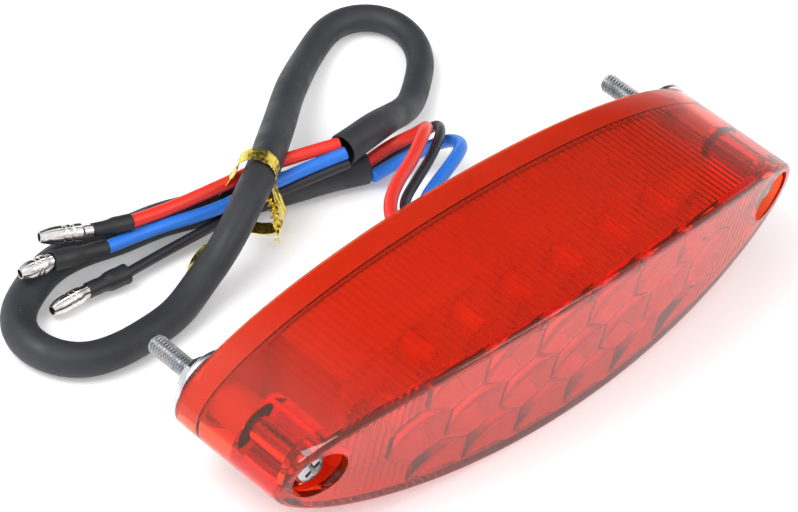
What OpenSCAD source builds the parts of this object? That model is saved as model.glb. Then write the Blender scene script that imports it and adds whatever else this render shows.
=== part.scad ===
// Low, wide LED tail and brake light for a motorcycle.
// Origin: centre of the flat rear face. +X to the right end, +Y to the rear
// (the way the mounting bolts point), +Z up. All sizes in millimetres.

/* [Lens] */
// Overall width of the lens
lens_w = 137; // [130:0.5:150]
// Overall height of the lens
lens_h = 37.5; // [36:0.5:42]
// Depth of the lens at its two tips
end_depth = 27.4; // [27:0.1:30]
// How far the middle of the front stands proud of its tips
front_bow = 9; // [8.5:0.5:11]
// Lean of the front face, top edge forward, in degrees
front_lean = 8; // [4:1:10]
// Wall thickness of the lens
wall = 2.4; // [2:0.1:2.6]
// Wall thickness of the rabbet that takes the back plate
lip_wall = 1.4; // [1.2:0.1:1.6]
// Depth of that rabbet
lip_depth = 5.2; // [5.2:0.1:6]

/* [Mounting bolts] */
// Distance between the two through bolts
bolt_spacing = 120; // [119:0.5:121]
// Height of the bolts above the middle of the lens
bolt_z = 1; // [0:0.5:1]
// Nominal diameter of the bolts (M4)
bolt_d = 4; // [4:0.1:4.2]
// Length of a bolt under its head
bolt_len = 40; // [36:1:45]
// Depth at which the bolt head seats in the lens
seat_depth = 25; // [24:0.5:25]
// Diameter of the bolt's pan head
head_d = 7; // [6.5:0.1:8]
// Height of the bolt's pan head
head_h = 2.6; // [2.2:0.1:2.8]
// Diameter of the round recess around the bolt head
recess_d = 11; // [10:0.2:11.4]
// Diameter of the clearance holes for the bolts
bolt_hole_d = 4.4; // [4.4:0.1:4.8]
// Outside diameter of the large washer
washer_d = 15; // [12:0.5:16]
// Thickness of the large washer
washer_t = 1.25; // [1:0.05:1.6]
// Width across the flats of the nut
nut_af = 7; // [7:0.1:8]
// Height of the nut
nut_h = 3.2; // [2.6:0.1:3.2]

/* [Back plate and inside] */
// Depth of the back plate's rim
rim_depth = 5.2; // [5:0.1:5.2]
// Thickness of the back plate's floor
floor_t = 2.2; // [1.8:0.1:2.4]
// Half width of the board carrier
carrier_x = 48; // [47:0.5:48.5]
// Depth at which the circuit board lies
board_depth = 20; // [19:0.5:20.5]
// Thickness of the circuit board
board_t = 1.6; // [1.2:0.1:1.6]
// Diameter of one LED
led_d = 5; // [4.6:0.1:5]
// Height of one LED above the board
led_h = 6.1; // [5:0.1:6.4]
// Sideways spacing of the LEDs
led_pitch = 12.7; // [12.4:0.1:12.8]
// Spacing of the three LED rows
led_row = 10.6; // [10:0.1:10.8]

/* [Harness] */
// Outside diameter of the black sleeve
sleeve_d = 7; // [6.4:0.1:7]
// Diameter of the red and the blue wire
wire_d = 2.7; // [2.4:0.1:2.8]
// Diameter of the black wire
ground_d = 2.1; // [1.9:0.1:2.2]
// Diameter of the bullets on the red and the blue wire
bullet_d = 3.7; // [3.5:0.1:3.8]
// Largest diameter of the boots
boot_d = 4; // [3.8:0.1:4.1]

/* [Hidden] */

a = lens_w/2;
b = lens_h/2;
bx = bolt_spacing/2;
front_y = -(end_depth + front_bow);
// radius of the bowed front, from its chord and its rise
front_r = (a*a + front_bow*front_bow)/(2*front_bow);
boss_r = 7;
boss_end = -14;
plate_boss_r = 4.2;
gap = 0.2;
board_y = -board_depth;
board_front = board_y - board_t;
screw_x = carrier_x - 4.4;

// Clearances across the moving joints, on the radius
nut_bore = bolt_d/2 + 0.05;
washer_bore = bolt_d/2 + 0.15;

// Routes, start to end
p_sleeve = [[18,39,-15],[10,42,-15],[2,44,-15],[-7,47,-15],[-16,50,-15],[-25,53,-15],
            [-34,54,-15],[-42,56,-15],[-50,56,-15],[-58,53,-15],[-64,49,-15],[-67,43,-15],
            [-66,37,-15],[-62,32,-15],[-55,30,-15],[-47,30,-15],[-39,31,-15],[-32,33,-13],
            [-26,34,-10],[-20,36,-7],[-14,39,-5],[-7,43,-5],[1,49,-7],[10,56,-10],
            [19,63,-12],[28,69,-14],[35,73,-15],[42,76,-15],[48,76,-15],[53,73,-15],
            [55,68,-15],[54,62,-15],[50,56,-15],[45,52,-15],[38,47,-14],[30,44,-11],
            [21,41,-8],[12,40,-8]];
p_red_lamp = [[-3,4,0],[-3,10,0],[1,16,0],[7,20,0],[15,24,-1],[23,29,-2],
            [28,33,-6],[28,36,-10],[25,39,-13],[17,39,-14]];
p_black_lamp = [[0,4,0],[1,10,0],[5,16,-2],[12,20,-3],[20,24,-4],[28,29,-5],
            [32,34,-8],[30,38,-14],[25,40,-17],[17,39,-17]];
p_blue_lamp = [[3,4,0],[5,10,-1],[10,15,-3],[16,18,-4],[24,21,-4],[30,25,-6],
            [31,30,-9],[28,34,-13],[23,36,-15],[17,36,-15]];
p_red_plug = [[12,41,-7],[5,44,-8],[-4,47,-9],[-14,48,-9],[-24,50,-10],[-34,51,-9]];
p_blue_plug = [[12,39,-8],[4,42,-10],[-6,44,-11],[-17,46,-12],[-29,49,-12],[-41,50,-11]];
p_black_plug = [[12,38,-10],[3,41,-12],[-7,44,-14],[-18,45,-15],[-29,46,-16],[-39,46,-16]];
// ends of the boots and the bullets
q_red = [-42,53,-8];
t_red = [-52,57,-7];
q_blue = [-53,52,-9];
t_blue = [-60,53,-9];
q_black = [-48,47,-16];
t_black = [-57,47,-16];

function ellipse_pts(rx, rz, n = 72) =
    [for (i = [0 : n - 1]) [rx*cos(360*i/n), rz*sin(360*i/n)]];

// Elliptical prism between two depths
module prism(rx, rz, y0, y1)
    translate([0, y1, 0]) rotate([90, 0, 0]) linear_extrude(y1 - y0) polygon(ellipse_pts(rx, rz));

// Round bar or hole along Y
module bar_y(x, r, y0, y1, z = 0)
    translate([x, y1, z]) rotate([90, 0, 0]) cylinder(r = r, h = y1 - y0, $fn = 64);

// Slab between the ends of the carrier
module slab(half, y0, y1)
    translate([-half, y0, -25]) cube([2*half, y1 - y0, 50]);

// Round rod from p to q
module rod(p, q, r1, r2) {
    v = q - p;
    translate(p) rotate([0, acos(v[2]/norm(v)), atan2(v[1], v[0])])
        cylinder(r1 = r1, r2 = r2, h = norm(v), $fn = 32);
}

// Everything behind the bowed, leaning front, moved back by inset
module behind_front(inset)
    translate([0, front_y, 0]) rotate([front_lean, 0, 0]) translate([0, front_r, 0])
        cylinder(r = front_r - inset, h = 160, center = true, $fn = 360);

function unit(v) = v/norm(v);
function heading(p, i) = unit(p[min(i + 1, len(p) - 1)] - p[max(i - 1, 0)]);
function ring(c, t, r, n) =
    let (s = unit(cross(t, [0, 0, 1])), u = cross(s, t))
    [for (k = [0 : n - 1]) c + r*(cos(360*k/n)*s + sin(360*k/n)*u)];

// Tube swept along a route
module tube(p, d, n) {
    m = len(p);
    pts = [for (i = [0 : m - 1]) each ring(p[i], heading(p, i), d/2, n)];
    sides = [for (i = [0 : m - 2], k = [0 : n - 1]) each
        [[i*n + k, i*n + (k + 1)%n, (i + 1)*n + (k + 1)%n],
         [i*n + k, (i + 1)*n + (k + 1)%n, (i + 1)*n + k]]];
    first = [[for (k = [n - 1 : -1 : 0]) k]];
    last = [[for (k = [0 : n - 1]) (m - 1)*n + k]];
    polyhedron(points = pts, faces = concat(sides, first, last), convexity = 6);
}

module lens() color([0.85, 0.08, 0.05, 0.6]) difference() {
    intersection() {
        prism(a, b, -60, 0);
        behind_front(0);
    }
    difference() {
        intersection() {
            prism(a - wall, b - wall, -60, -lip_depth + 0.2);
            behind_front(wall);
        }
        for (s = [-1, 1]) bar_y(s*bx, boss_r, -60, boss_end, bolt_z);
    }
    prism(a - lip_wall, b - lip_wall, -lip_depth, 1);
    for (s = [-1, 1]) {
        bar_y(s*bx, recess_d/2, -60, -seat_depth, bolt_z);
        bar_y(s*bx, bolt_hole_d/2, -60, 1, bolt_z);
    }
}

module back_plate() color([0.9, 0.88, 0.85]) difference() {
    union() {
        difference() {
            prism(a - lip_wall - gap, b - lip_wall - gap, -rim_depth, 0);
            prism(a - lip_wall - gap - 2, b - lip_wall - gap - 2, -rim_depth - 1, -floor_t);
        }
        for (s = [-1, 1]) bar_y(s*bx, plate_boss_r, boss_end, -floor_t/2, bolt_z);
    }
    for (s = [-1, 1]) bar_y(s*bx, bolt_hole_d/2, boss_end - 1, 1, bolt_z);
    bar_y(0, 5.5, -rim_depth, 1);
}

module board_carrier() color([0.88, 0.86, 0.84]) difference() {
    union() {
        intersection() {
            prism(a - wall - 1.6, b - wall - 0.95, board_y, -lip_depth - 0.4);
            slab(carrier_x, board_y, -lip_depth - 0.4);
        }
        intersection() {
            prism(a - wall - 1.7, b - wall - 1.75, -lip_depth - 1, -floor_t);
            slab(carrier_x, -lip_depth - 1, -floor_t);
        }
    }
    difference() {
        intersection() {
            prism(a - wall - 3.3, b - wall - 3.35, board_y - 1, 0);
            slab(carrier_x - 1.6, board_y - 1, 0);
        }
        for (s = [-1, 1]) bar_y(s*screw_x, 3, board_y, -floor_t);
    }
    for (s = [-1, 1]) bar_y(s*screw_x, 1.25, board_y - 1, board_y + 9);
}

module circuit_board() color([0.92, 0.92, 0.9]) difference() {
    intersection() {
        prism(a - wall - 1.6, b - wall - 0.95, board_front, board_y);
        slab(carrier_x - 0.2, board_front, board_y);
    }
    for (s = [-1, 1]) bar_y(s*screw_x, 1.5, board_front - 1, board_y + 1);
}

// One round-topped LED standing on the board
module led(x, z) translate([x, board_front, z]) rotate([90, 0, 0]) union() {
    cylinder(d = led_d, h = led_h - led_d/2, $fn = 32);
    translate([0, 0, led_h - led_d/2]) sphere(d = led_d, $fn = 32);
}

module leds() color([0.95, 0.75, 0.7]) {
    for (i = [-3 : 3]) led(i*led_pitch, 0);
    for (s = [-1, 1], i = [-2.5 : 2.5]) led(i*led_pitch, s*led_row);
}

module resistors() color([0.1, 0.1, 0.1])
    for (i = [-1.5 : 1.5]) translate([i*14 - 1.6, board_y, 5]) cube([3.2, 0.7, 1.6]);

module diodes() color([0.12, 0.12, 0.13])
    for (i = [-1, 1]) translate([i*14 - 2.2, board_y, -7]) cube([4.4, 2, 2.6]);

module board_screws() color([0.75, 0.75, 0.77])
    for (s = [-1, 1]) union() {
        bar_y(s*screw_x, 2.2, board_front - 1.6, board_front);
        bar_y(s*screw_x, 1.2, board_front - 0.5, board_y + 8);
    }

module inner_leads() color([0.4, 0.4, 0.42])
    for (i = [-1 : 1]) bar_y(i*2.6, i == 0 ? ground_d/2 : wire_d/2, board_y, -floor_t - 2);

module cable_grommet() color([0.08, 0.08, 0.08]) union() {
    bar_y(0, 7, -floor_t - 2, -floor_t);
    bar_y(0, 5.4, -floor_t - 1, 1);
    bar_y(0, 7, 0, 1.6);
    translate([0, 4, 0]) rotate([90, 0, 0]) cylinder(r1 = 4.4, r2 = 5.2, h = 3, $fn = 64);
}

// Pan head bolt; the narrow neck marks where its free end starts behind the nut
module through_bolt(x) translate([x, 0, bolt_z]) rotate([-90, 0, 0]) rotate_extrude($fn = 64)
    polygon([[0, -seat_depth - head_h], [head_d/2 - 1.2, -seat_depth - head_h],
             [head_d/2 - 0.3, -seat_depth - head_h + 0.5], [head_d/2, -seat_depth - head_h + 1.3],
             [head_d/2, -seat_depth], [bolt_d/2, -seat_depth],
             [bolt_d/2, washer_t + nut_h + 0.1], [bolt_d/2 - 0.2, washer_t + nut_h + 0.2],
             [bolt_d/2 - 0.2, washer_t + nut_h + 0.7], [bolt_d/2, washer_t + nut_h + 0.8],
             [bolt_d/2, bolt_len - seat_depth - 0.5], [bolt_d/2 - 0.5, bolt_len - seat_depth],
             [0, bolt_len - seat_depth]]);
module through_bolt_left() color([0.78, 0.79, 0.8]) through_bolt(-bx);
module through_bolt_right() color([0.78, 0.79, 0.8]) through_bolt(bx);

module washer(x) difference() {
    bar_y(x, washer_d/2, 0, washer_t, bolt_z);
    bar_y(x, washer_bore, -1, washer_t + 1, bolt_z);
}
module washer_left() color([0.85, 0.86, 0.88]) washer(-bx);
module washer_right() color([0.85, 0.86, 0.88]) washer(bx);

module nut(x) difference() {
    translate([x, washer_t + nut_h, bolt_z]) rotate([90, 0, 0])
        cylinder(r = nut_af/2/cos(30), h = nut_h, $fn = 6);
    bar_y(x, nut_bore, washer_t - 1, washer_t + nut_h + 1, bolt_z);
}
module nut_left() color([0.85, 0.86, 0.88]) nut(-bx);
module nut_right() color([0.85, 0.86, 0.88]) nut(bx);

module wire_red_lamp() color([0.85, 0.15, 0.12]) tube(p_red_lamp, wire_d, 8);
module wire_black_lamp() color([0.1, 0.1, 0.1]) tube(p_black_lamp, ground_d, 8);
module wire_blue_lamp() color([0.15, 0.4, 0.85]) tube(p_blue_lamp, wire_d, 8);
module harness_sleeve() color([0.12, 0.12, 0.13]) tube(p_sleeve, sleeve_d, 10);
module wire_red_plug() color([0.85, 0.15, 0.12]) tube(p_red_plug, wire_d, 8);
module wire_black_plug() color([0.1, 0.1, 0.1]) tube(p_black_plug, ground_d, 8);
module wire_blue_plug() color([0.15, 0.4, 0.85]) tube(p_blue_plug, wire_d, 8);

module boot_red() color([0.07, 0.07, 0.07]) rod(p_red_plug[5], q_red, 0.85*boot_d/2, 0.7*boot_d/2);
module boot_black() color([0.07, 0.07, 0.07]) rod(p_black_plug[5], q_black, boot_d/2, 0.8*boot_d/2);
module boot_blue() color([0.07, 0.07, 0.07]) rod(p_blue_plug[5], q_blue, 0.8*boot_d/2, boot_d/2);

// Bullet terminal: a barrel with a shallow groove and a tapered nose
module bullet(q, t, d = bullet_d) {
    v = t - q;
    l = norm(v);
    r = d/2;
    translate(q) rotate([0, acos(v[2]/l), atan2(v[1], v[0])]) rotate_extrude($fn = 32)
        polygon([[0, 0], [r, 0], [r, 0.42*l], [0.85*r, 0.45*l], [0.85*r, 0.5*l],
                 [r, 0.53*l], [r, 0.62*l], [0.62*r, l], [0, l]]);
}
module bullet_red() color([0.8, 0.8, 0.82]) bullet(q_red, t_red);
module bullet_black() color([0.8, 0.8, 0.82]) bullet(q_black, t_black, 0.92*bullet_d);
module bullet_blue() color([0.8, 0.8, 0.82]) bullet(q_blue, t_blue);

// Flat foil band around the crossing of the sleeve and the wires
module tie_outline(r) hull() {
    translate([0, -4.7]) circle(r = sleeve_d/2 + r, $fn = 32);
    for (s = [-1, 1]) translate([s*2.3, -14.5]) circle(r = sleeve_d/2 + r, $fn = 32);
    translate([7.8, -9.6]) circle(r = wire_d/2 + r, $fn = 24);
}
module twist_tie() color([0.85, 0.65, 0.15])
    translate([-8.5, 43, 0]) rotate([0, 0, 36]) rotate([90, 0, 90])
        translate([0, 0, -1.6]) linear_extrude(3.2) difference() {
            tie_outline(0.4);
            tie_outline(0.05);
        }

lens();
back_plate();
board_carrier();
circuit_board();
leds();
resistors();
diodes();
board_screws();
inner_leads();
cable_grommet();
through_bolt_left();
through_bolt_right();
washer_left();
washer_right();
nut_left();
nut_right();
wire_red_lamp();
wire_black_lamp();
wire_blue_lamp();
harness_sleeve();
wire_red_plug();
wire_black_plug();
wire_blue_plug();
boot_red();
boot_black();
boot_blue();
bullet_red();
bullet_black();
bullet_blue();
twist_tie();
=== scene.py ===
import bpy, bmesh, math
from mathutils import Vector, Matrix, noise
from mathutils.geometry import delaunay_2d_cdt


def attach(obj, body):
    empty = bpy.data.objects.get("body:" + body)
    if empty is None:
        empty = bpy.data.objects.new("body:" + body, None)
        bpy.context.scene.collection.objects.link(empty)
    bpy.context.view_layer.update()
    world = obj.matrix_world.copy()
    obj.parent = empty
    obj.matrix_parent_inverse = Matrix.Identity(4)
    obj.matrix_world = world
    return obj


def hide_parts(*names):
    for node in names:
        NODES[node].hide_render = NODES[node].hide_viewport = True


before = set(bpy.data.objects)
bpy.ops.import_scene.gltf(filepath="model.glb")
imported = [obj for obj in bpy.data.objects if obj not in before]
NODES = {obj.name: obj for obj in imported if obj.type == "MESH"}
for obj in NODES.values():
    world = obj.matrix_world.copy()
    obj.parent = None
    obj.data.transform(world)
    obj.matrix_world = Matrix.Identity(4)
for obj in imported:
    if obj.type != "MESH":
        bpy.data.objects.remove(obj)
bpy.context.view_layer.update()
bpy.context.scene.view_settings.view_transform = "Standard"
bpy.context.scene.view_settings.look = "None"
MM = 0.001
ROOT = "lamp"
BOLT_Z = 1.0

# ---------------------------------------------------------------- camera
def make_camera():
    az, el, roll = math.radians(47.93), math.radians(41.76), math.radians(5.98)
    fwd = Vector((math.sin(az)*math.cos(el), math.cos(az)*math.cos(el), -math.sin(el)))
    right0 = Vector((math.cos(az), -math.sin(az), 0))
    up0 = right0.cross(fwd)
    right = math.cos(roll)*right0 + math.sin(roll)*up0
    up = math.cos(roll)*up0 - math.sin(roll)*right0
    cam = bpy.data.objects.new("camera", bpy.data.cameras.new("camera"))
    bpy.context.scene.collection.objects.link(cam)
    m = Matrix((right, up, -fwd)).transposed().to_4x4()
    m.translation = Vector((-0.4306, -0.3773, 0.5086))
    cam.matrix_world = m
    cam.data.sensor_width = 36.0
    cam.data.lens = 182.1
    cam.data.clip_start = 0.01
    cam.data.clip_end = 20
    bpy.context.scene.camera = cam
make_camera()

# ---------------------------------------------------------------- node helpers
def material(name):
    m = bpy.data.materials.new(name)
    m.use_nodes = True
    nt = m.node_tree
    nt.nodes.clear()
    out = nt.nodes.new("ShaderNodeOutputMaterial")
    return m, nt, out

def node(nt, kind, **inputs):
    n = nt.nodes.new("ShaderNode" + kind)
    for k, v in inputs.items():
        if k.startswith("p_"):
            setattr(n, k[2:], v)
    for k, v in inputs.items():
        if k.startswith("p_"):
            continue
        key = int(k[1:]) if k[0] == "i" and k[1:].isdigit() else k.replace("_", " ")
        s = n.inputs[key]
        if isinstance(v, bpy.types.NodeSocket):
            nt.links.new(v, s)
        else:
            s.default_value = v
    return n

def ramp(nt, fac, stops, interpolation="LINEAR"):
    n = nt.nodes.new("ShaderNodeValToRGB")
    n.color_ramp.interpolation = interpolation
    el = n.color_ramp.elements
    while len(el) < len(stops):
        el.new(0.5)
    for e, (p, c) in zip(el, stops):
        e.position = p
        e.color = c if len(c) == 4 else (*c, 1)
    nt.links.new(fac, n.inputs[0])
    return n.outputs[0]

def pos(nt, scale=(1, 1, 1), offset=(0, 0, 0)):
    t = nt.nodes.new("ShaderNodeTexCoord")
    mp = nt.nodes.new("ShaderNodeMapping")
    mp.inputs["Scale"].default_value = scale
    mp.inputs["Location"].default_value = offset
    nt.links.new(t.outputs["Object"], mp.inputs["Vector"])
    return mp.outputs[0]

def noise_tex(nt, vec, scale, detail=3.0, rough=0.5, dist=0.0):
    return node(nt, "TexNoise", Vector=vec, Scale=scale, Detail=detail, Roughness=rough, Distortion=dist)

def bump(nt, height, strength, distance=0.0002, normal=None):
    b = node(nt, "Bump", Height=height, Strength=strength, Distance=distance)
    if normal is not None:
        nt.links.new(normal, b.inputs["Normal"])
    return b.outputs[0]

def plastic(name, base, rough=0.4, var=0.12, grain=2500.0, grain_amt=0.25, coat=0.0, ior=1.48, speck=None, streak=None, sss=0.0):
    """Moulded or drawn plastic and rubber: slow colour drift, fine grain in height and gloss, optional dust or drawing lines."""
    m, nt, out = material(name)
    p = pos(nt)
    slow = noise_tex(nt, p, 60.0, 3).outputs[0]
    lo = tuple(c*(1 - var) for c in base)
    hi = tuple(min(1, c*(1 + var)) for c in base)
    col = ramp(nt, slow, [(0.3, lo), (0.7, hi)])
    if speck:
        sp = noise_tex(nt, p, speck[0], 1).outputs[0]
        f = ramp(nt, sp, [(speck[1], (0, 0, 0)), (speck[1] + 0.03, (1, 1, 1))])
        mx = node(nt, "Mix", p_data_type="RGBA", i0=f, i6=col, i7=(*speck[2], 1))
        col = mx.outputs[2]
    fine = noise_tex(nt, p, grain, 2).outputs[0]
    rr = ramp(nt, noise_tex(nt, p, 220.0, 4).outputs[0], [(0.3, (rough*0.8,)*3), (0.75, (min(1, rough*1.25),)*3)])
    b = node(nt, "BsdfPrincipled", Base_Color=col, Roughness=rr, IOR=ior)
    b.inputs["Coat Weight"].default_value = coat
    b.inputs["Coat Roughness"].default_value = 0.08
    if sss:
        b.inputs["Subsurface Weight"].default_value = sss
        b.inputs["Subsurface Radius"].default_value = (1, 0.4, 0.3)
        b.inputs["Subsurface Scale"].default_value = 0.0008
    n = bump(nt, fine, grain_amt, 0.00005)
    n = bump(nt, slow, 0.15, 0.0002, n)
    if streak:
        wv = noise_tex(nt, pos(nt, streak), 1.0, 3).outputs[0]
        n = bump(nt, wv, 0.2, 0.0001, n)
    nt.links.new(n, b.inputs["Normal"])
    nt.links.new(b.outputs[0], out.inputs["Surface"])
    return m

def metal(name, base, rough=0.25, var=0.1, scratch=(3000, 300, 3000), grain=0.3, dark=None):
    m, nt, out = material(name)
    p = pos(nt)
    cloud = noise_tex(nt, p, 350.0, 4, 0.6).outputs[0]
    lo = tuple(c*(1 - var) for c in base)
    hi = tuple(min(1, c*(1 + var*0.6)) for c in base)
    col = ramp(nt, cloud, [(0.3, dark or lo), (0.48, lo), (0.7, hi)])
    rr = ramp(nt, noise_tex(nt, p, 900.0, 3).outputs[0], [(0.3, (rough*0.65,)*3), (0.75, (rough*1.5,)*3)])
    b = node(nt, "BsdfPrincipled", Base_Color=col, Roughness=rr, Metallic=1.0)
    s = noise_tex(nt, pos(nt, scratch), 1.0, 4, 0.6).outputs[0]
    n = bump(nt, s, grain, 0.00004)
    n = bump(nt, cloud, 0.15, 0.00006, n)
    nt.links.new(n, b.inputs["Normal"])
    nt.links.new(b.outputs[0], out.inputs["Surface"])
    return m

def lens_material():
    m, nt, out = material("lens_red")
    p = pos(nt)
    haze = ramp(nt, noise_tex(nt, p, 90.0, 4, 0.6).outputs[0], [(0.35, (0.02,)*3), (0.8, (0.05,)*3)])
    tint = ramp(nt, noise_tex(nt, p, 35.0, 2).outputs[0], [(0.3, (0.985, 0.19, 0.075)), (0.7, (0.998, 0.23, 0.10))])
    b = node(nt, "BsdfPrincipled", Base_Color=tint, Roughness=haze, IOR=1.49)
    b.inputs["Transmission Weight"].default_value = 0.95
    n = bump(nt, noise_tex(nt, p, 45.0, 2).outputs[0], 0.03, 0.0004)
    nt.links.new(n, b.inputs["Normal"])
    v = node(nt, "VolumeAbsorption", Color=(0.997, 0.6, 0.4, 1), Density=420.0)
    nt.links.new(b.outputs[0], out.inputs["Surface"])
    nt.links.new(v.outputs[0], out.inputs["Volume"])
    return m

MAT = {}
MAT["lens"] = lens_material()
MAT["plate"] = plastic("plate_white", (0.86, 0.84, 0.80), 0.5, 0.04, grain=1800.0)
MAT["rubber"] = plastic("rubber_black", (0.03, 0.03, 0.032), 0.6, 0.25)
MAT["board"] = plastic("board_white", (0.85, 0.85, 0.82), 0.3, 0.05, coat=0.3)
MAT["led"] = plastic("led_clear", (0.9, 0.55, 0.5), 0.12, 0.05, coat=0.5, sss=0.3)
MAT["chip"] = plastic("chip_black", (0.035, 0.035, 0.04), 0.45, 0.2)
MAT["zinc"] = metal("zinc", (0.68, 0.70, 0.73), 0.24, 0.08, grain=0.12, dark=(0.60, 0.62, 0.66))
MAT["stud"] = metal("zinc_stud", (0.46, 0.47, 0.49), 0.3, 0.10, grain=0.08, dark=(0.30, 0.31, 0.33))
MAT["nickel"] = metal("nickel", (0.80, 0.78, 0.76), 0.2, 0.10, grain=0.1, dark=(0.55, 0.53, 0.52))
MAT["wire_red"] = plastic("wire_red", (0.80, 0.035, 0.02), 0.36, 0.06, sss=0.1)
MAT["wire_blue"] = plastic("wire_blue", (0.02, 0.19, 0.74), 0.36, 0.08, sss=0.1)
MAT["wire_black"] = plastic("wire_black", (0.022, 0.022, 0.027), 0.36, 0.2)
MAT["wire_grey"] = plastic("wire_grey", (0.03, 0.03, 0.034), 0.4, 0.2)
MAT["sleeve"] = plastic("sleeve_black", (0.026, 0.028, 0.033), 0.56, 0.15, grain=1600.0, grain_amt=0.35, speck=(900.0, 0.80, (0.12, 0.12, 0.13)))
MAT["boot"] = plastic("boot_black", (0.018, 0.018, 0.02), 0.5, 0.2, grain=1200.0, grain_amt=0.5)
MAT["foil"] = metal("foil_gold", (1.0, 0.78, 0.13), 0.24, 0.15, scratch=(900, 900, 900), grain=0.5, dark=(0.62, 0.38, 0.03))
# near-black painted shade for the inside of the bullets' open tips, standing in for the shadow in the bore
MAT["dark_hole"] = plastic("bore_painted_shade", (0.015, 0.014, 0.013), 0.7, 0.1)

# ---------------------------------------------------------------- mesh helpers
def obj_from(name, verts, faces, mat, smooth=True, angle=35, body=ROOT, scale=MM, mats=None, face_mats=None):
    me = bpy.data.meshes.new(name)
    me.from_pydata([tuple(c*scale for c in v) for v in verts], [], faces)
    me.validate(clean_customdata=False)
    bm = bmesh.new(); bm.from_mesh(me)
    bmesh.ops.recalc_face_normals(bm, faces=bm.faces)
    bm.to_mesh(me); bm.free()
    o = bpy.data.objects.new(name, me)
    bpy.context.scene.collection.objects.link(o)
    for mm in (mats or [mat]):
        me.materials.append(mm)
    if face_mats:
        for p, i in zip(me.polygons, face_mats):
            p.material_index = i
    if smooth:
        me.polygons.foreach_set("use_smooth", [True]*len(me.polygons))
        me.set_sharp_from_angle(angle=math.radians(angle))
    if body:
        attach(o, body)
    return o

def catmull(pts, step=0.8):
    p = [Vector(q) for q in pts]
    p = [2*p[0] - p[1]] + p + [2*p[-1] - p[-2]]
    out = []
    for i in range(1, len(p) - 2):
        a, b, c, d = p[i-1:i+3]
        n = max(2, int((c - b).length/step))
        for k in range(n):
            t = k/n
            out.append(0.5*((2*b) + (c - a)*t + (2*a - 5*b + 4*c - d)*t*t + (3*b - a - 3*c + d)*t**3))
    out.append(p[-2])
    return out

def resample(pts, n):
    d = [0.0]
    for a, b in zip(pts, pts[1:]):
        d.append(d[-1] + (b - a).length)
    out, j = [], 0
    for k in range(n):
        s = d[-1]*k/(n - 1)
        while j < len(d) - 2 and d[j+1] < s:
            j += 1
        t = (s - d[j])/max(1e-9, d[j+1] - d[j])
        out.append(pts[j].lerp(pts[j+1], min(1, max(0, t))))
    return out

def relax(pts, times, keep=2):
    p = [q.copy() for q in pts]
    for _ in range(times):
        q = [v.copy() for v in p]
        for i in range(keep, len(p) - keep):
            q[i] = p[i]*0.5 + (p[i-1] + p[i+1])*0.25
        p = q
    return p

def route(pts, n, times=6, first=None):
    p = resample(catmull(pts), n)
    return resample(relax(p, times, 2), n)

def path_length(pts):
    return sum((b - a).length for a, b in zip(pts, pts[1:]))

def frames(pts):
    ts = []
    for i in range(len(pts)):
        ts.append((pts[min(i+1, len(pts)-1)] - pts[max(i-1, 0)]).normalized())
    n0 = Vector((0, 0, 1)).cross(ts[0])
    if n0.length < 1e-6:
        n0 = Vector((1, 0, 0))
    ns = [n0.normalized()]
    for a, b in zip(ts, ts[1:]):
        q = a.rotation_difference(b)
        v = q @ ns[-1]
        v = (v - b*v.dot(b)).normalized()
        ns.append(v)
    return ts, ns

def sweep_rings(pts, radii, sides, wob=None):
    ts, ns = frames(pts)
    rings = []
    for i, (p, t, n, r) in enumerate(zip(pts, ts, ns, radii)):
        b = t.cross(n)
        ring = []
        for k in range(sides):
            a = 2*math.pi*k/sides
            rr = r*(1 + (wob(i, a) if wob else 0))
            ring.append(p + (n*math.cos(a) + b*math.sin(a))*rr)
        rings.append(ring)
    return rings

def stitch(rings, sides, close_start=True, close_end=True):
    verts = [v for r in rings for v in r]
    faces = []
    for i in range(len(rings) - 1):
        for k in range(sides):
            k2 = (k + 1) % sides
            faces.append((i*sides + k, i*sides + k2, (i+1)*sides + k2, (i+1)*sides + k))
    if close_start:
        faces.append(tuple(range(sides - 1, -1, -1)))
    if close_end:
        faces.append(tuple((len(rings)-1)*sides + k for k in range(sides)))
    return verts, faces

def tube(name, pts, d, mat, sides=20, body=ROOT, bev=0.12):
    """A solid round cord along pts, with softly rounded cut ends."""
    r = d/2
    ring_pts, radii = list(pts), [r]*len(pts)
    t0 = (pts[1] - pts[0]).normalized(); t1 = (pts[-1] - pts[-2]).normalized()
    ring_pts = [pts[0], pts[0] + t0*bev*r] + list(pts[1:-1]) + [pts[-1] - t1*bev*r, pts[-1]]
    radii = [r*(1 - bev)] + [r]*(len(pts)) + [r*(1 - bev)]
    rings = sweep_rings(ring_pts, radii, sides)
    v, f = stitch(rings, sides)
    return obj_from(name, v, f, mat, body=body)

def lathe(profile, sides=48, closed=True):
    """profile: (radius, height) pairs up the axis +Z; radius 0 ends make poles."""
    verts, faces, idx = [], [], []
    for r, h in profile:
        if r < 1e-6:
            idx.append([len(verts)]); verts.append(Vector((0, 0, h)))
        else:
            idx.append(list(range(len(verts), len(verts) + sides)))
            for k in range(sides):
                a = 2*math.pi*k/sides
                verts.append(Vector((r*math.cos(a), r*math.sin(a), h)))
    rows = list(zip(idx, idx[1:]))
    if closed and len(idx[0]) > 1 and len(idx[-1]) > 1:
        rows.append((idx[-1], idx[0]))
    for A, B in rows:
        for k in range(sides):
            k2 = (k + 1) % sides
            if len(A) == 1 and len(B) == 1:
                continue
            if len(A) == 1:
                faces.append((A[0], B[k2], B[k]))
            elif len(B) == 1:
                faces.append((A[k], A[k2], B[0]))
            else:
                faces.append((A[k], A[k2], B[k2], B[k]))
    return verts, faces

def placed(verts, matrix):
    return [matrix @ v for v in verts]

def along(p, q):
    """Matrix that puts +Z along p to q, with its origin at p."""
    d = (Vector(q) - Vector(p)).normalized()
    return Matrix.Translation(Vector(p)) @ d.to_track_quat("Z", "Y").to_matrix().to_4x4()

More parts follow.
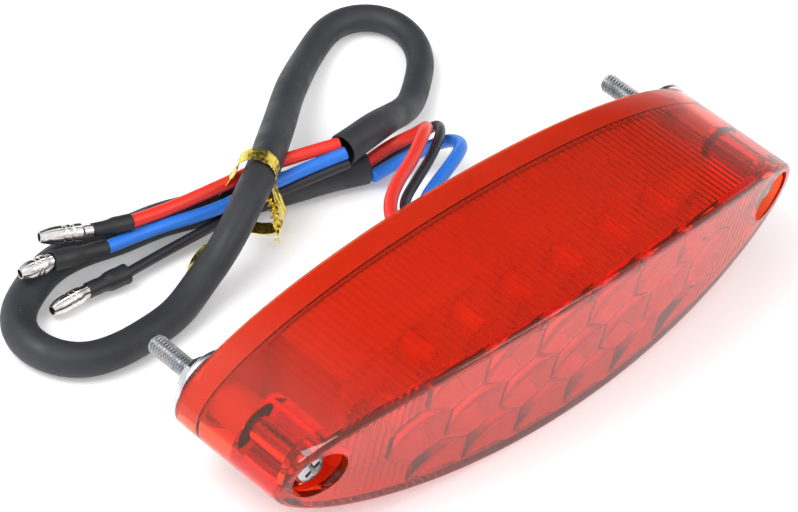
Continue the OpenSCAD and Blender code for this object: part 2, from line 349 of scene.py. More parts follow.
def along_y(x, y=0.0):
    """+Z of the profile becomes +Y of the lamp."""
    return Matrix.Translation(Vector((x, y, BOLT_Z))) @ Matrix.Rotation(-math.pi/2, 4, "X")

def boolean(o, cutter, op, solver="EXACT"):
    md = o.modifiers.new("b", "BOOLEAN")
    md.operation = op
    md.object = cutter
    md.solver = solver
    dg = bpy.context.evaluated_depsgraph_get()
    me = bpy.data.meshes.new_from_object(o.evaluated_get(dg))
    o.modifiers.clear()
    old = o.data
    o.data = me
    bpy.data.meshes.remove(old)
    bpy.data.objects.remove(cutter)
    return o

def finish_smooth(o, angle=35):
    me = o.data
    me.polygons.foreach_set("use_smooth", [True]*len(me.polygons))
    me.set_sharp_from_angle(angle=math.radians(angle))

# ---------------------------------------------------------------- cords
P_SLEEVE = [(18,39,-15),(10,42,-15),(2,44,-15),(-7,47,-15),(-16,50,-15),(-25,53,-15),
            (-34,54,-15),(-42,56,-15),(-50,56,-15),(-58,53,-15),(-64,49,-15),(-67,43,-15),
            (-66,37,-15),(-62,32,-15),(-55,30,-15),(-47,30,-15),(-39,31,-15),(-32,33,-13),
            (-26,34,-10),(-20,36,-7),(-14,39,-5),(-7,43,-5),(1,49,-7),(10,56,-10),
            (19,63,-12),(28,69,-14),(35,73,-15),(42,76,-15),(48,76,-15),(53,73,-15),
            (55,68,-15),(54,62,-15),(50,56,-15),(45,52,-15),(38,47,-14),(30,44,-11),
            (21,41,-8),(12,40,-8)]
P_LAMP = {
 "red": [(-3,4,0),(-3,10,0),(1,16,0),(7,20,0),(15,24,-1),(23,29,-2),
         (28,33,-6),(28,36,-10),(25,39,-13),(17,39,-14)],
 "black": [(0,4,0),(1,10,0),(5,16,-2),(12,20,-3),(20,24,-4),(28,29,-5),
         (32,34,-8),(30,38,-14),(25,40,-17),(17,39,-17)],
 "blue": [(3,4,0),(5,10,-1),(10,15,-3),(16,18,-4),(24,21,-4),(30,25,-6),
         (31,30,-9),(28,34,-13),(23,36,-15),(17,36,-15)]}
P_PLUG = {
 "red": [(12,41,-7),(5,44,-8),(-4,47,-9),(-14,48,-9),(-24,50,-10),(-34,51,-9)],
 "blue": [(12,39,-8),(4,42,-10),(-6,44,-11),(-17,46,-12),(-29,49,-12),(-41,50,-11)],
 "black": [(12,38,-10),(3,41,-12),(-7,44,-14),(-18,45,-15),(-29,46,-16),(-39,46,-16)]}
Q_BOOT = {"red": (-42,53,-8), "blue": (-53,52,-9), "black": (-48,47,-16)}
T_TIP = {"red": (-52,57,-7), "blue": (-60,53,-9), "black": (-57,47,-16)}
WIRE_D = {"red": 2.7, "blue": 2.7, "black": 2.1}

def smooth(t):
    t = min(1.0, max(0.0, t))
    return t*t*(3 - 2*t)

def make_sleeve():
    c = route(P_SLEEVE, 260, 10)
    sides, ro, ri = 28, 3.45, 2.85
    widths = [(0, 6.9), (60, 7.0), (95, 7.0), (118, 6.6), (145, 6.4), (175, 6.9), (200, 6.6), (220, 6.0), (245, 5.7), (280, 5.8), (294, 6.5), (301, 6.8)]
    total = path_length(c)
    def radius(i):
        at = 300.0*i/(len(c) - 1)
        for (s0, w0), (s1, w1) in zip(widths, widths[1:]):
            if at <= s1:
                return (w0 + (w1 - w0)*smooth((at - s0)/(s1 - s0)))/2
        return widths[-1][1]/2
    rads = [radius(i) for i in range(len(c))]
    c = [Vector((p.x, p.y, p.z - (3.5 - r) if p.z < -12 else p.z - (3.5 - r)*max(0, (-8 - p.z)/4))) for p, r in zip(c, rads)]
    def wob(i, a):
        v = noise.noise(Vector((i*0.09, math.cos(a)*0.8, math.sin(a)*0.8)))
        return 0.012*v
    ts, _ = frames(c)
    # outside, rolled rim, then the bore down to a plug of wires out of sight
    pts = [c[0]] + c + [c[-1]]
    rad = [rads[0] - 0.18] + rads + [rads[-1] - 0.18]
    pts[1] = c[0] + ts[0]*0.15
    pts[-2] = c[-1] - ts[-1]*0.15
    outer = sweep_rings(pts, rad, sides, wob)
    depth = 9
    def bore(inner_pts):
        return sweep_rings(inner_pts, [ri + 0.12] + [ri]*(len(inner_pts) - 1), sides)
    start = sweep_rings([c[k] for k in range(depth, -1, -1)], [ri]*depth + [ri + 0.12], sides)
    end = sweep_rings([c[-1-k] for k in range(0, depth + 1)], [ri + 0.12] + [ri]*depth, sides)
    # line the bores' rings up with the outside's
    def match(ring_set, ref):
        best = min(range(sides), key=lambda s: (ring_set[s] - ref[0]).length)
        d1 = (ring_set[(best + 1) % sides] - ref[1]).length
        d2 = (ring_set[(best - 1) % sides] - ref[1]).length
        return best, (1 if d1 < d2 else -1)
    def reorder(rings, ref, i):
        s, sg = match(rings[i], ref)
        return [[r[(s + sg*k) % sides] for k in range(sides)] for r in rings]
    start = reorder(start, outer[0], -1)
    end = reorder(end, outer[-1], 0)
    rings = start + outer + end
    v, f = stitch(rings, sides)
    o = obj_from("harness_sleeve_soft", v, f, MAT["sleeve"], angle=50)
    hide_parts("harness_sleeve")
    return c

SLEEVE_LINE = make_sleeve()

LAMP_LINE = {}
for colour, pts in P_LAMP.items():
    c = route(pts, 90, 14)
    LAMP_LINE[colour] = c
    o = tube(f"wire_{colour}_lamp_side", c, WIRE_D[colour], MAT["wire_" + colour], 20)
    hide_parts(f"wire_{colour}_lamp")

def shrink_boot(colour):
    """Shrink sleeve over the end of the wire and the crimp: a stepped, slightly creased tube, open at both ends."""
    p, q = Vector(P_PLUG[colour][-1]), Vector(Q_BOOT[colour])
    L = (q - p).length
    big, small = {"red": (1.7, 1.4), "blue": (1.6, 2.0), "black": (2.0, 1.6)}[colour]
    sides, rings, n = 32, [], 26
    m = along(p, q)
    prof = []
    for i in range(n + 1):
        t = i/n
        s = min(1, max(0, (t - 0.42)/0.2)); s = s*s*(3 - 2*s)
        rr = big*(1 - s) + small*s
        rr += 0.05*math.exp(-((t - 0.05)/0.05)**2)
        prof.append((t*L, rr))
    outer = []
    for h, rr in prof:
        ring = []
        for k in range(sides):
            a = 2*math.pi*k/sides
            cr = 1 + 0.035*noise.noise(Vector((h*0.9, math.cos(a)*1.6, math.sin(a)*1.6 + (3 if colour == "red" else 0))))
            if h > 0.62*L:
                cr += 0.02*math.sin(a*2 + 1)
            ring.append(m @ Vector((rr*cr*math.cos(a), rr*cr*math.sin(a), h)))
        outer.append(ring)
    inner = []
    rin0, rin1 = WIRE_D[colour]/2 + 0.06, small - 0.3
    for h, rr in ((L, rin1), (L - 1.2, rin1), (L - 1.25, 0.4)):
        inner.append([m @ Vector((rr*math.cos(2*math.pi*k/sides), rr*math.sin(2*math.pi*k/sides), h)) for k in range(sides)])
    head = []
    for h, rr in ((1.25, 0.4), (1.2, rin0), (0.0, rin0)):
        head.append([m @ Vector((rr*math.cos(2*math.pi*k/sides), rr*math.sin(2*math.pi*k/sides), h)) for k in range(sides)])
    v, f = stitch(head + outer + inner, sides)
    o = obj_from(f"boot_{colour}_shrink", v, f, MAT["boot"], angle=40)
    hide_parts(f"boot_{colour}")
    return o

def bullet(colour):
    """Nickel bullet: crimp barrel, two rings, a tapered nose with an open tip, and the rolled seam along it."""
    q, t = Vector(Q_BOOT[colour]), Vector(T_TIP[colour])
    L = (t - q).length
    r = 1.7 if colour == "black" else 1.85
    neck = 0.62 if colour == "red" else 0.8
    m = along(q, t)
    prof = [(0.0, r*neck), (0.02, r*neck), (0.16, r*(neck + 0.04)), (0.22, r*0.97), (0.30, r), (0.36, r), (0.385, r*0.90), (0.41, r*0.90), (0.435, r),
            (0.50, r), (0.53, r*0.90), (0.56, r*0.90), (0.585, r), (0.68, r*0.99), (0.78, r*0.93), (0.88, r*0.80),
            (0.96, r*0.66), (0.99, r*0.62), (1.0, r*0.56), (0.995, r*0.48), (0.97, r*0.44), (0.86, r*0.44), (0.858, 0.02)]
    sides = 48
    rings = []
    for tt, rr in prof:
        ring = []
        for k in range(sides):
            a = 2*math.pi*k/sides
            d = abs((a - 1.3 + math.pi) % (2*math.pi) - math.pi)
            seam = 0.0
            if rr > r*0.6 and tt < 0.99:
                seam = 0.13*math.exp(-(d/0.06)**2)
                d2 = abs((a - 4.3 + math.pi) % (2*math.pi) - math.pi)
                seam += 0.13*math.exp(-(d2/0.06)**2)
            ring.append(m @ Vector(((rr - seam)*math.cos(a), (rr - seam)*math.sin(a), tt*L)))
        rings.append(ring)
    v, f = stitch(rings, sides)
    # the open tip's inner lip, bore and bottom take the near-black painted shade material
    fm = []
    for i in range(len(rings) - 1):
        fm += [1 if i >= len(rings) - 4 else 0]*sides
    fm += [0, 1]
    o = obj_from(f"bullet_{colour}_terminal", v, f, None, angle=28, mats=[MAT["nickel"], MAT["dark_hole"]], face_mats=fm)
    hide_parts(f"bullet_{colour}")
    return o

for colour, pts in P_PLUG.items():
    c = route(pts, 70, 6)
    o = tube(f"wire_{colour}_plug_side", c, WIRE_D[colour], MAT["wire_" + colour], 20)
    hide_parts(f"wire_{colour}_plug")
    b1, b2 = shrink_boot(colour), bullet(colour)

# ---------------------------------------------------------------- lens
A, B = 68.5, 18.75
BOW, DEPTH, LEAN = 9.0, 27.4, math.radians(8)
FY = -(DEPTH + BOW)
FR = (A*A + BOW*BOW)/(2*BOW)
WALL, LIP_WALL, LIP = 2.4, 1.4, 5.2

def front_y(x, z, inset=0.0):
    """Depth of the leaning, bowed front at x, z: the near wall of a tilted cylinder."""
    # axis through (0, FY + FR*cos, FR*sin) along u = (0, -sin, cos)
    r = FR - inset
    s, c = math.sin(LEAN), math.cos(LEAN)
    # centre of the cylinder in the frame turned back by the lean: y' = FR, so solve y for x^2 + (y' - FR)^2 = r^2
    yp = FR - math.sqrt(r*r - x*x)
    # point = (0, FY, 0) + R_x(lean) (x, y', w);  z = y'*sin(lean) + w*cos(lean)
    w = (z - yp*s)/c
    return FY + yp*c - w*s

HEX_SIDE = 12.7/math.sqrt(3)
LAT = HEX_SIDE/16
COL = LAT*math.sqrt(3)/2
RIB = 4*COL
CELLS = [(i*12.7, 0.0) for i in range(-3, 4)] + [((i + 0.5)*12.7, s*11.0) for s in (-1, 1) for i in range(-3, 3)]

def hex_dist(dx, dz):
    """1 at the edge of a pointy-topped cell, 0 at its middle."""
    dx, dz = abs(dx), abs(dz)
    ap = 12.7/2
    return max(dx, dx*0.5 + dz*math.sqrt(3)/2)/ap

def relief(x, z):
    """How much the inside of the front stands proud: a dome in each cell, upright ribs outside them."""
    best = None
    for cx, cz in CELLS:
        h = hex_dist(x - cx, z - cz)
        if h <= 1.0001:
            rho2 = (x - cx)**2 + (z - cz)**2
            return 0.30 + 1.0*(1 - rho2/(HEX_SIDE**2)) - 0.30*smooth((h - 0.9)/0.1)
    rib = 0.05*(1 + math.cos(2*math.pi*x/RIB))
    return rib if abs(x) < 54.5 else 0.0

def ellipse(theta, ax, bz):
    return ax*math.cos(theta), bz*math.sin(theta)

def outline(inset, n):
    """Points of the outline at a constant inset from the outer ellipse."""
    out = []
    for k in range(n):
        t = 2*math.pi*k/n
        x, z = ellipse(t, A, B)
        nx, nz = math.cos(t)/A, math.sin(t)/B
        l = math.hypot(nx, nz)
        out.append((x - inset*nx/l, z - inset*nz/l))
    return out

def inner_outline(ax, bz, ribs, step=COL/2):
    """Inner wall's outline, closed, with front-to-back ribs on the top and bottom where ribs is set."""
    pts = []
    xr = 54.5
    k = int(xr/step)
    top = []
    for i in range(k, -k - 1, -1):
        x = i*step
        z = bz*math.sqrt(max(0, 1 - (x/ax)**2))
        edge = min(1.0, (xr - abs(x))/2.0)
        rib = 0.05*(1 + math.cos(2*math.pi*x/RIB))*edge if ribs else 0.0
        top.append((x, z - rib))
    x0 = top[-1][0]
    t0 = math.acos(x0/ax)
    left = []
    n = 60
    for i in range(1, n):
        t = t0 + (2*math.pi - 2*t0)*i/n
        left.append(ellipse(t, ax, bz))
    bottom = [(x, -z) for x, z in reversed(top)]
    x1 = top[0][0]
    t1 = math.acos(x1/ax)
    right = []
    for i in range(1, n):
        t = -t1 + 2*t1*i/n
        right.append(ellipse(t, ax, bz))
    return top + left + bottom + right

def inside(x, z, ax, bz):
    return (x/ax)**2 + (z/bz)**2 < 1

def cap(boundary, interior, yfun):
    """Triangles that fill boundary (x, z points, closed) with the interior points; yfun is not used. Returns the faces
    over boundary + interior.
    """
    n = len(boundary)
    pts = [Vector(p) for p in boundary] + [Vector(p) for p in interior]
    edges = [(i, (i + 1) % n) for i in range(n)]
    v, e, f, ov, oe, of = delaunay_2d_cdt(pts, edges, [], 1, 1e-7)
    assert len(v) == len(pts), (len(v), len(pts))
    order = [o[0] for o in ov]
    faces = [tuple(order[i] for i in t) for t in f]
    return faces

def make_lens():
    verts, faces = [], []
    def add_ring(pts):
        i = len(verts); verts.extend(pts); return list(range(i, i + len(pts)))
    def bridge(r1, r2):
        n = len(r1)
        for k in range(n):
            faces.append((r1[k], r1[(k+1) % n], r2[(k+1) % n], r2[k]))
    N = 480
    # outside: small round at the rear rim, the wall, a 1.1 mm round at the front edge
    rings = []
    rr = 0.35
    for s in range(4):
        t = math.pi/2*s/3
        ins = rr*(1 - math.sin(t)); y = -rr*(1 - math.cos(t))
        # t 0: on the rear face inset by rr; t 90: on the wall
        rings.append(add_ring([(x, y, z) for x, z in outline(ins, N)]))
    for s in range(1, 9):
        row = []
        for x, z in outline(0, N):
            yf = front_y(x, z) + 1.1
            row.append((x, -rr + (yf + rr)*s/8, z))
        rings.append(add_ring(row))
    R = 1.1
    for s in range(1, 7):
        t = math.pi/2*s/6
        ins = R*(1 - math.cos(t))
        row = []
        for x, z in outline(ins, N):
            row.append((x, front_y(x, z) + R*(1 - math.sin(t)), z))
        rings.append(add_ring(row))
    for r1, r2 in zip(rings, rings[1:]):
        bridge(r1, r2)
    # outside of the front
    edge = outline(R, N)
    grid = []
    g = 1.25
    for i in range(-60, 61):
        for j in range(-16, 17):
            x, z = i*g + (0.5*g if j % 2 else 0), j*g*0.866
            if inside(x, z, A - R - 0.9, B - R - 0.8):
                grid.append((x, z))
    f = cap(edge, grid, None)
    base = rings[-1]
    gi = add_ring([(x, front_y(x, z), z) for x, z in grid])
    idx = base + gi
    faces.extend(tuple(idx[i] for i in t) for t in f)
    outer_rear = rings[0]
    # inside: rabbet for the back plate, step, then the ribbed wall and the front's inside
    lip = inner_outline(A - LIP_WALL, B - LIP_WALL, False)
    lip_rings = [add_ring([(x, y, z) for x, z in lip]) for y in (0.0, -2.0, -4.0, -LIP)]
    for r1, r2 in zip(lip_rings, lip_rings[1:]):
        bridge(r1, r2)
    wall = inner_outline(A - WALL, B - WALL, True)
    step_ring = add_ring([(x, -LIP, z) for x, z in wall])
    bridge(lip_rings[-1], step_ring)
    prev = step_ring
    m = 10
    last_wall = None
    for s in range(1, m + 1):
        row = []
        for x, z in wall:
            yf = front_y(x, z, WALL) + 0.0
            row.append((x, -LIP + (yf + LIP)*s/m, z))
        cur = add_ring(row)
        bridge(prev, cur)
        prev = cur
    pts = []
    nx = int(68/COL) + 2
    for i in range(-nx, nx + 1):
        for j in range(-40, 41):
            x = i*COL
            z = (j + (0.5 if i % 2 else 0))*LAT
            if inside(x, z, A - WALL - 0.75, B - WALL - 0.75):
                pts.append((x, z))
    f = cap(wall, pts, None)
    def fade(x, z):
        e = 1 - math.sqrt((x/(A - WALL))**2 + (z/(B - WALL))**2)
        return smooth(e*B/0.9)
    gi = add_ring([(x, front_y(x, z, WALL) + relief(x, z)*fade(x, z), z) for x, z in pts])
    idx = prev + gi
    faces.extend(tuple(idx[i] for i in t) for t in f)
    # rear face between the two outlines: filled as a strip of triangles
    ro = [(verts[i][0], verts[i][2]) for i in outer_rear]
    ri = [(verts[i][0], verts[i][2]) for i in lip_rings[0]]
    n1, n2 = len(ro), len(ri)
    allp = [Vector(p) for p in ro] + [Vector(p) for p in ri]
    edges = [(i, (i+1) % n1) for i in range(n1)] + [(n1 + i, n1 + (i+1) % n2) for i in range(n2)]
    v, e, f, ov, oe, of = delaunay_2d_cdt(allp, edges, [], 1, 1e-7)
    order = [o[0] for o in ov]
    both = outer_rear + lip_rings[0]
    ax, bz = A - LIP_WALL, B - LIP_WALL
    for t in f:
        q = [order[i] for i in t]
        cx = sum(allp[i].x for i in q)/3; cz = sum(allp[i].y for i in q)/3
        if all(i >= n1 for i in q):
            continue
        faces.append(tuple(both[i] for i in q))
    o = obj_from("lens_moulding", verts, faces, MAT["lens"], angle=30, body=None)
    # bosses and recesses
    for s in (-1, 1):
        x = s*60.0
        yb = front_y(x, 0, 1.0)
        v, f = lathe([(0, -33 - 14 + 14), (7.0, -33), (7.0, -14), (0, -14)], 72)
        ys = []
        vv = []
        for p in placed(v, along_y(x)):
            if p.y < -20:
                p = Vector((p.x, front_y(p.x, p.z, 1.1), p.z))
            vv.append(p)
        c = obj_from("boss", vv, f, MAT["lens"], body=None)
        boolean(o, c, "UNION")
        v, f = lathe([(0, -45), (5.5, -45), (5.5, -25.25), (5.25, -25), (2.2, -25), (2.2, -10), (0, -10)], 72)
        c = obj_from("cut", placed(v, along_y(x)), f, MAT["lens"], body=None)
        boolean(o, c, "DIFFERENCE")
    finish_smooth(o, 30)
    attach(o, ROOT)
    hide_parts("lens")
    return o

make_lens()

# ---------------------------------------------------------------- LEDs
def make_leds():
    verts, faces, fm = [], [], []
    bf = -21.6
    for x, z in [(i*12.7, 0.0) for i in range(-3, 4)] + [((i + 0.5)*12.7, s*10.6) for s in (-1, 1) for i in range(-3, 3)]:
        prof = [(0, 0.0), (2.5, 0.0), (2.5, 3.4)]
        for k in range(1, 9):
            t = math.pi/2*k/8
            prof.append((2.5*math.cos(t) if k < 8 else 0, 3.6 + 2.5*math.sin(t)))
        v, f = lathe(prof, 28)
        m = Matrix.Translation(Vector((x, bf, z))) @ Matrix.Rotation(math.pi/2, 4, "X")
        base = len(verts)
        verts += placed(v, m)
        faces += [tuple(base + i for i in t) for t in f]
    o = obj_from("led_domes", verts, faces, MAT["led"], angle=40)
    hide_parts("leds")
make_leds()

# ---------------------------------------------------------------- bolts, washers, nuts
def make_bolt(side, x):
    """Threaded M4 shank with a real helix on the stretch behind the lamp, and a pan head with a cross recess."""
    sides, pitch, r = 48, 0.7, 2.0
    rows = []
    y0, y1 = 0.0, 15.0
    n = int((y1 - y0)/pitch*8)
    ring = []
    verts, faces = [], []
    def row_at(y, rf):
        return [Vector((rf(2*math.pi*k/sides)*math.cos(2*math.pi*k/sides), rf(2*math.pi*k/sides)*math.sin(2*math.pi*k/sides), y)) for k in range(sides)]
    rings = []
    rings.append([Vector((0.01*math.cos(2*math.pi*k/sides), 0.01*math.sin(2*math.pi*k/sides), -27.55)) for k in range(sides)])
    for rad, y in ((2.2, -27.6), (2.9, -27.35), (3.3, -26.9), (3.48, -26.2), (3.5, -25.6), (3.45, -25.08), (3.35, -25.0), (1.95, -25.0), (1.95, -12.0), (1.95, -1.0)):
        rings.append(row_at(y, lambda a, rad=rad: rad))
    for i in range(n + 1):
        y = y0 + (y1 - y0 - 0.02)*i/n
        cap_r = min(1.0, (y1 - y)/0.6)
        def rf(a, y=y, cap_r=cap_r):
            ph = (y/pitch - a/(2*math.pi)) % 1.0
            tri = abs(ph - 0.5)*2
            d = 0.5*max(0.0, 1 - tri*1.1)
            lead = smooth((y - 0.1)/0.8)
            return (r - d*lead)*(0.80 + 0.20*cap_r)
        rings.append(row_at(y, rf))
    rings.append(row_at(15.0, lambda a: 1.45))
    v, f = stitch(rings, sides)
    o = obj_from(f"bolt_{side}_threaded", placed(v, along_y(x)), f, MAT["stud"], angle=40, body=None)
    # cross recess, cut to a tapering depth
    for turn in (0, 90):
        ang = math.radians(turn + 28)
        c = []
        w0, w1, l0, l1, d = 0.52, 0.34, 2.15, 1.0, 1.7
        for y, w, l in ((-28.0, w0, l0), (-27.6 + d, w1, l1)):
            for sx, sz in ((-1, -1), (1, -1), (1, 1), (-1, 1)):
                px, pz = sx*l, sz*w
                c.append(Vector((x + px*math.cos(ang) - pz*math.sin(ang), y, BOLT_Z + px*math.sin(ang) + pz*math.cos(ang))))
        cf = [(0, 1, 2, 3), (7, 6, 5, 4), (0, 4, 5, 1), (1, 5, 6, 2), (2, 6, 7, 3), (3, 7, 4, 0)]
        boolean(o, obj_from("cross", c, cf, MAT["stud"], smooth=False, body=None), "DIFFERENCE")
    finish_smooth(o, 32)
    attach(o, ROOT)
    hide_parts(f"through_bolt_{side}")

def make_washer(side, x):
    r, b, t, e = 7.5, 2.15, 1.25, 0.22
    v, f = lathe([(b, e), (b + e, 0.0), (r - 0.45, 0.0), (r - 0.12, 0.16), (r, 0.5), (r, t - 0.35), (r - 0.12, t - 0.12), (r - 0.4, t), (b + e, t), (b, t - e)], 96)
    o = obj_from(f"washer_{side}_plate", placed(v, along_y(x)), f, MAT["zinc"], angle=35, body=f"washer_{side}")
    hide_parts(f"washer_{side}")

def make_nut(side, x):
    """M4 nut: chamfered hexagon both ends, threaded bore."""
    af, h, y0 = 7.0, 3.17, 1.28
    rc = af/2/math.cos(math.pi/6)
    n = 96
    def hexr(a):
        k = (a + math.pi/6) % (math.pi/3) - math.pi/6
        return af/2/math.cos(k)
    rings = []
    def ring(y, lim):
        out = []
        for k in range(n):
            a = 2*math.pi*k/n
            rr = min(hexr(a + math.pi/6), lim) if lim else hexr(a + math.pi/6)
            out.append(Vector((rr*math.cos(a), rr*math.sin(a), y)))
        return out
    def circ(y, rr):
        return [Vector((rr*math.cos(2*math.pi*k/n), rr*math.sin(2*math.pi*k/n), y)) for k in range(n)]
    seq = [circ(y0, 3.32), ring(y0 + 0.05, 3.5), ring(y0 + 0.16, 3.68), ring(y0 + 0.3, 3.88), ring(y0 + 0.42, rc + 0.01),
           ring(y0 + h - 0.42, rc + 0.01), ring(y0 + h - 0.3, 3.88), ring(y0 + h - 0.16, 3.68), ring(y0 + h - 0.05, 3.5), circ(y0 + h, 3.32),
           circ(y0 + h, 2.45), circ(y0 + h - 0.35, 2.1)]
    m = 36
    for i in range(1, m):
        y = y0 + h - 0.35 - (h - 0.7)*i/m
        seq.append([Vector(((2.06 + 0.17*abs((((y/0.7 - a/(2*math.pi)) % 1.0) - 0.5)*2))*math.cos(a), (2.06 + 0.17*abs((((y/0.7 - a/(2*math.pi)) % 1.0) - 0.5)*2))*math.sin(a), y)) for a in [2*math.pi*k/n for k in range(n)]])
    seq += [circ(y0 + 0.35, 2.1), circ(y0, 2.45)]
    v, f = stitch(seq, n, False, False)
    last = (len(seq) - 1)*n
    f += [(last + k, last + (k+1) % n, (k+1) % n, k) for k in range(n)]
    o = obj_from(f"nut_{side}_hex", placed(v, along_y(x)), f, MAT["zinc"], angle=24, body=f"nut_{side}")
    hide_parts(f"nut_{side}")

for side, x in (("left", -60.0), ("right", 60.0)):
    make_bolt(side, x)
    make_washer(side, x)
    make_nut(side, x)

# ---------------------------------------------------------------- twist tie
def make_tie():
    c0 = Vector((-8.5, 43.0, 0.0))
    ang = math.radians(36)
    d = Vector((math.cos(ang), math.sin(ang), 0)); u = Vector((-math.sin(ang), math.cos(ang), 0)); w = Vector((0, 0, 1))
    # loop in the plane across the upper stretch: tight over it, down its near side, under the lower stretch
    loop = []
    for k in range(0, 9):
        a = math.radians(-20 + 200*k/8)
        loop.append((3.85*math.cos(a), -4.6 + 3.85*math.sin(a)))
    loop = loop  # over the top from the far side (u > 0) to the near side
    pts2 = [(6.8, -11.5), (5.4, -7.9)] + [(3.95*math.cos(math.radians(a)), -4.6 + 3.95*math.sin(math.radians(a))) for a in (-5, 25, 55, 85, 115, 145, 175, 205)] + [(-3.9, -9.0), (-5.2, -12.0), (-6.0, -14.8), (-4.8, -17.3), (-2.2, -18.35), (1.5, -18.4), (4.6, -17.3), (6.3, -14.6)]
    n = 150
    closed = [Vector((p[0], p[1], 0)) for p in pts2]
    dense = []
    m = len(closed)
    for i in range(m):
        a, b, c, e = closed[i-1], closed[i], closed[(i+1) % m], closed[(i+2) % m]
        for k in range(8):
            t = k/8
            dense.append(0.5*((2*b) + (c - a)*t + (2*a - 5*b + 4*c - e)*t*t + (3*b - a - 3*c + e)*t**3))
    n = len(dense)
    half, th = 1.7, 0.12
    cols = 9
    verts, faces = [], []
    for i, p in enumerate(dense):
        t = (dense[(i+1) % n] - dense[i-1]).normalized()
        out = Vector((t.y, -t.x, 0))
        if out.dot(Vector((p.x, p.y + 10, 0))) < 0:
            out = -out
        pinch = 1.0
        top = []
        bot = []
        for j in range(cols):
            s = (j/(cols - 1) - 0.5)*2
            wr = 0.16*noise.noise(Vector((i*0.35, s*1.5, 2.0))) + 0.10*math.cos(s*math.pi*2.5 + 0.8*noise.noise(Vector((i*0.15, 0, 9))))
            q2 = p + out*(0.12 + wr + th/2)
            q3 = p + out*(0.12 + wr - th/2)
            off = d*(s*half*(1 + 0.12*noise.noise(Vector((i*0.2, 5, 0)))) + 0.5*math.sin(i*2*math.pi/n))
            top.append(c0 + u*q2.x + w*q2.y + off)
            bot.append(c0 + u*q3.x + w*q3.y + off)
        verts += top + list(reversed(bot))
    k2 = cols*2
    for i in range(n):
        i2 = (i + 1) % n
        for k in range(k2):
            faces.append((i*k2 + k, i*k2 + (k+1) % k2, i2*k2 + (k+1) % k2, i2*k2 + k))
    # twisted tail and two free ends
    def ribbon(path, half0, half1, turns, start_n, th=0.14, seed=0.0):
        base = len(verts)
        ts, ns = frames(path)
        cnt = len(path)
        cc = 5
        for i, (p, t, nn) in enumerate(zip(path, ts, ns)):
            b = t.cross(nn)
            a = start_n + turns*2*math.pi*i/(cnt - 1)
            side = nn*math.cos(a) + b*math.sin(a)
            up = t.cross(side)
            hw = half0 + (half1 - half0)*smooth(i/(cnt - 1))
            tp, bt = [], []
            for j in range(cc):
                s = (j/(cc - 1) - 0.5)*2
                wr = 0.12*noise.noise(Vector((i*0.5 + seed, s*1.2, 4.0)))
                tp.append(p + side*(s*hw) + up*(wr + th/2))
                bt.append(p + side*(s*hw) + up*(wr - th/2))
            verts.extend(tp + list(reversed(bt)))
        kk = cc*2
        for i in range(cnt - 1):
            for k in range(kk):
                faces.append((base + i*kk + k, base + i*kk + (k+1) % kk, base + (i+1)*kk + (k+1) % kk, base + (i+1)*kk + k))
        faces.append(tuple(base + k for k in range(kk - 1, -1, -1)))
        faces.append(tuple(base + (cnt - 1)*kk + k for k in range(kk)))
    def P(uu, dd, zz):
        return c0 + u*(uu + 1.8) + d*(dd - 2.4) + w*zz
    knot = resample(catmull([P(-4.3, 0.6, -9.4), P(-5.6, 0.4, -10.6), P(-6.3, -0.4, -12.4), P(-6.9, -0.9, -14.2)], 0.2), 40)
    ribbon(knot, 1.0, 0.9, 2.2, 0.4, th=0.5)
    end1 = resample(catmull([P(-6.9, -0.9, -14.2), P(-7.4, -1.8, -15.6), P(-7.6, -3.0, -16.8)], 0.2), 16)
    ribbon(end1, 0.9, 1.6, 0.2, 1.0, seed=3)
    end2 = resample(catmull([P(1.7, 0.4, -17.6), P(4.5, -6.1, -17.7), P(6.3, -11.1, -17.4), P(7.3, -14.8, -16.9)], 0.4), 40)
    ribbon(end2, 0.7, 1.5, 0.6, 0.6, seed=7)
    o = obj_from("twist_tie_foil", verts, faces, MAT["foil"], angle=60)
    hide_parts("twist_tie")
make_tie()

# ---------------------------------------------------------------- carried-over CAD nodes
def give(name, mat):
    o = NODES[name]
    o.data.materials.clear()
    o.data.materials.append(mat)
for n, m in (("back_plate", "plate"), ("board_carrier", "plate"), ("circuit_board", "board"),
             ("resistors", "chip"), ("diodes", "chip"), ("board_screws", "zinc"), ("inner_leads", "wire_grey"), ("cable_grommet", "rubber")):
    give(n, MAT[m])

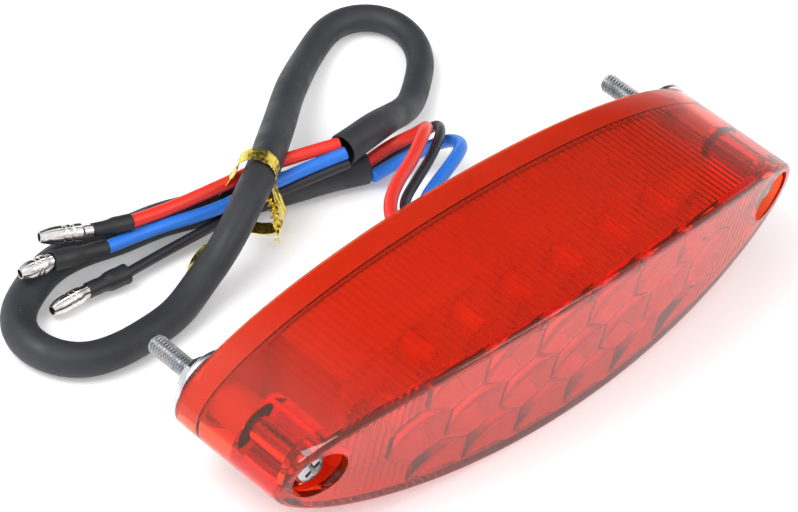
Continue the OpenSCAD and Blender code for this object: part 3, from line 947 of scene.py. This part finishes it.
# ---------------------------------------------------------------- stage and light
def make_stage():
    me = bpy.data.meshes.new("floor")
    s = 3.0
    z = -18.75*MM - 0.00002
    me.from_pydata([(-s, -s, z), (s, -s, z), (s, s, z), (-s, s, z)], [], [(0, 1, 2, 3)])
    o = bpy.data.objects.new("floor", me)
    bpy.context.scene.collection.objects.link(o)
    m, nt, out = material("floor_white")
    b = node(nt, "BsdfPrincipled", Base_Color=(0.95, 0.95, 0.95, 1), Roughness=0.75)
    b.inputs["Emission Color"].default_value = (1, 1, 1, 1)
    b.inputs["Emission Strength"].default_value = 0.20
    b.inputs["Specular IOR Level"].default_value = 0.2
    nt.links.new(b.outputs[0], out.inputs["Surface"])
    me.materials.append(m)
    w = bpy.data.worlds.new("studio")
    bpy.context.scene.world = w
    w.use_nodes = True
    nt = w.node_tree
    nt.nodes.clear()
    out = nt.nodes.new("ShaderNodeOutputWorld")
    bg = nt.nodes.new("ShaderNodeBackground")
    tc = nt.nodes.new("ShaderNodeTexCoord")
    dot = node(nt, "VectorMath", p_operation="DOT_PRODUCT", i0=tc.outputs["Generated"], i1=(0.58, 0.50, 0.64))
    col = ramp(nt, dot.outputs["Value"], [(0.70, (1.0, 1.0, 1.0)), (0.93, (0.05, 0.05, 0.055))])
    nt.links.new(col, bg.inputs["Color"])
    bg.inputs["Strength"].default_value = 1.0
    nt.links.new(bg.outputs[0], out.inputs["Surface"])
    def area(name, loc, target, size, power, size_y=None):
        l = bpy.data.lights.new(name, "AREA")
        l.energy = power
        l.size = size
        if size_y:
            l.shape = "RECTANGLE"; l.size_y = size_y
        o = bpy.data.objects.new(name, l)
        o.location = loc
        o.rotation_mode = "QUATERNION"
        o.rotation_quaternion = (Vector(target) - Vector(loc)).to_track_quat("-Z", "Y")
        bpy.context.scene.collection.objects.link(o)
    area("key", (-0.55, 0.15, 0.85), (0, 0.02, 0), 0.5, 5.5)
    area("fill", (0.35, -0.75, 0.55), (0, 0, 0), 0.5, 2.5)
make_stage()
